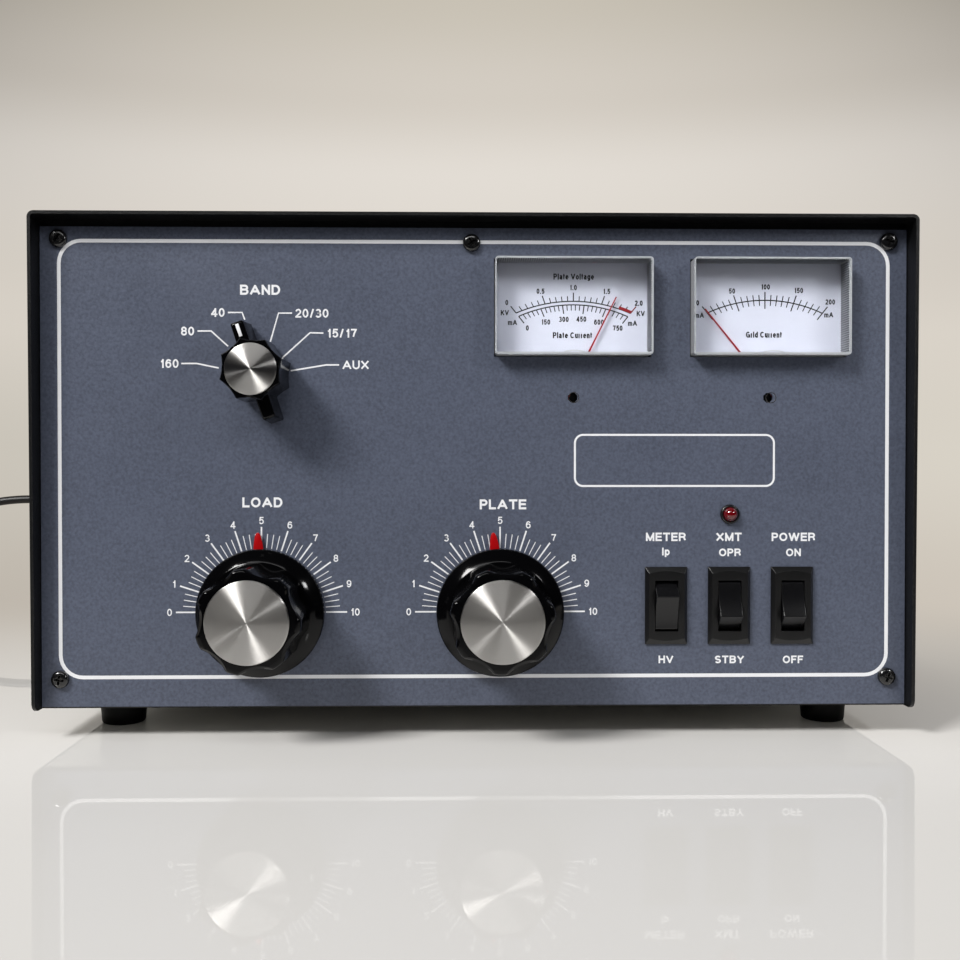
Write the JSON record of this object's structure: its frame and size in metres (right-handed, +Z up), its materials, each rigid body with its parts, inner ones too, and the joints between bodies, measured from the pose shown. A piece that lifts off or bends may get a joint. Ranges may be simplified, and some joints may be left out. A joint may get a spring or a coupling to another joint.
{
  "type": "HF linear amplifier",
  "caption": "Desk-top radio-frequency linear amplifier with vernier tuning dials, band switch, rocker switches, two panel meters, rear sockets and a mains cord.",
  "frame": {"origin": "on the table under the middle of the cabinet with its knobs and rear fittings", "axes": "+X to the right of someone facing the front panel, +Y to the back, +Z up"},
  "size_m": [0.6918, 0.5282, 0.2081],
  "materials": {
    "cover_paint": "black wrinkle enamel",
    "panel_paint": "satin blue-grey enamel",
    "zinc_steel": "zinc-plated sheet steel",
    "black_screws": "black oxide",
    "foot_rubber": "matt",
    "knob_plastic": "gloss",
    "spun_aluminium": "spun",
    "shaft_steel": "turned",
    "pointer_red": "red lacquer",
    "vane_aluminium": "plain",
    "brass": "plain",
    "ceramic": "glazed steatite",
    "switch_plastic": "satin",
    "meter_clear": "clear acrylic",
    "meter_card_white": "printed card",
    "meter_black": "moulded",
    "needle_red": "matt",
    "led_ring_black": "gloss",
    "led_red": "translucent",
    "tube_glass": "clear",
    "anode_graphite": "graphite grey",
    "base_bakelite": "bakelite",
    "copper": "copper",
    "laminate": "board",
    "core_steel": "varnished",
    "winding_paper": "varnished paper",
    "capacitor_sleeve": "sleeved",
    "fan_plastic": "moulded",
    "nickel": "nickel plate",
    "fuse_plastic": "moulded",
    "cord_vinyl": "black vinyl"
  },
  "bodies": {
    "cabinet": {"cover": "cover_paint", "front_panel": "panel_paint", "chassis": "zinc_steel", "rear_panel": "cover_paint", "case_screws": "black_screws", "feet": "foot_rubber", "partition": "zinc_steel", "capacitor_stators": "vane_aluminium", "capacitor_frames": "vane_aluminium", "vernier_housings": "brass", "band_wafers": "ceramic", "switch_housings": "switch_plastic", "meter_fronts": "meter_clear", "meter_cards": "meter_card_white", "meter_cases": "meter_black", "led_ring": "led_ring_black", "led_lens": "led_red", "tube_deck": "zinc_steel", "tube_sockets": "ceramic", "tube_bases": "base_bakelite", "tube_envelopes": "tube_glass", "tube_anodes": "anode_graphite", "plate_caps": "vane_aluminium", "plate_choke": "ceramic", "tank_coils": "copper", "radio_boards": "laminate", "transformer_core": "core_steel", "transformer_windings": "winding_paper", "filter_board": "laminate", "filter_capacitors": "capacitor_sleeve", "fan_frame": "fan_plastic", "fan_guard": "nickel", "coax_jacks": "nickel", "phono_jacks": "nickel", "fuse_holders": "fuse_plastic", "ground_post": "nickel", "strain_relief": "cord_vinyl", "cord_tube": "cord_vinyl", "cord_coil": "cord_vinyl", "plug_body": "cord_vinyl", "plug_blades": "brass"},
    "band_control": {"band_knob": "knob_plastic", "band_inlay": "spun_aluminium", "band_shaft": "shaft_steel"},
    "load_dial": {"load_knob": "knob_plastic", "load_inlay": "spun_aluminium", "load_shaft": "shaft_steel"},
    "load_tuner": {"load_pointer": "pointer_red", "load_rotor": "vane_aluminium"},
    "plate_dial": {"plate_knob": "knob_plastic", "plate_inlay": "spun_aluminium", "plate_shaft": "shaft_steel"},
    "plate_tuner": {"plate_pointer": "pointer_red", "plate_rotor": "vane_aluminium"},
    "meter_switch": {"meter_rocker": "switch_plastic"},
    "transmit_switch": {"transmit_rocker": "switch_plastic"},
    "power_switch": {"power_rocker": "switch_plastic"},
    "plate_movement": {"plate_needle": "needle_red"},
    "grid_movement": {"grid_needle": "needle_red"},
    "fan_rotor": {"fan_blades": "fan_plastic"}
  },
  "joints": [
    {"name": "band_selector", "type": "hinge", "parent": "cabinet", "child": "band_control", "pos_m": [-0.0857, -0.1732, 0.1455], "axis": [0, -1, 0], "range_deg": [-99, 66]},
    {"name": "load_tuning", "type": "hinge", "parent": "cabinet", "child": "load_tuner", "pos_m": [-0.08575, -0.1732, 0.0505], "axis": [0, -1, 0], "range_deg": [-92.34, 87.66]},
    {"name": "load_knob_turn", "type": "hinge", "parent": "cabinet", "child": "load_dial", "pos_m": [-0.08575, -0.1732, 0.0505], "axis": [0, -1, 0], "range_deg": [-554.04, 525.96]},
    {"name": "plate_tuning", "type": "hinge", "parent": "cabinet", "child": "plate_tuner", "pos_m": [0.0095, -0.1732, 0.0505], "axis": [0, -1, 0], "range_deg": [-95.04, 84.96]},
    {"name": "plate_knob_turn", "type": "hinge", "parent": "cabinet", "child": "plate_dial", "pos_m": [0.0095, -0.1732, 0.0505], "axis": [0, -1, 0], "range_deg": [-570.24, 509.76]},
    {"name": "meter_rocking", "type": "hinge", "parent": "cabinet", "child": "meter_switch", "pos_m": [0.0762, -0.1669, 0.0528], "axis": [1, 0, 0], "range_deg": [-30, 0]},
    {"name": "transmit_rocking", "type": "hinge", "parent": "cabinet", "child": "transmit_switch", "pos_m": [0.1016, -0.1669, 0.0528], "axis": [1, 0, 0], "range_deg": [0, 30]},
    {"name": "power_rocking", "type": "hinge", "parent": "cabinet", "child": "power_switch", "pos_m": [0.127, -0.1669, 0.0528], "axis": [1, 0, 0], "range_deg": [0, 30]},
    {"name": "plate_needle_swing", "type": "hinge", "parent": "cabinet", "child": "plate_movement", "pos_m": [0.0386, -0.1707, 0.1413], "axis": [0, -1, 0], "range_deg": [-12.5, 65.5]},
    {"name": "grid_needle_swing", "type": "hinge", "parent": "cabinet", "child": "grid_movement", "pos_m": [0.1173, -0.1707, 0.1413], "axis": [0, -1, 0], "range_deg": [-78, 0]},
    {"name": "fan_spin", "type": "hinge", "parent": "cabinet", "child": "fan_rotor", "pos_m": [-0.091, 0, 0.112], "axis": [0, 1, 0], "continuous": true}
  ],
  "couplings": [
    {"joint": "load_knob_turn", "follows": "load_tuning", "ratio": 6},
    {"joint": "plate_knob_turn", "follows": "plate_tuning", "ratio": 6}
  ]
}
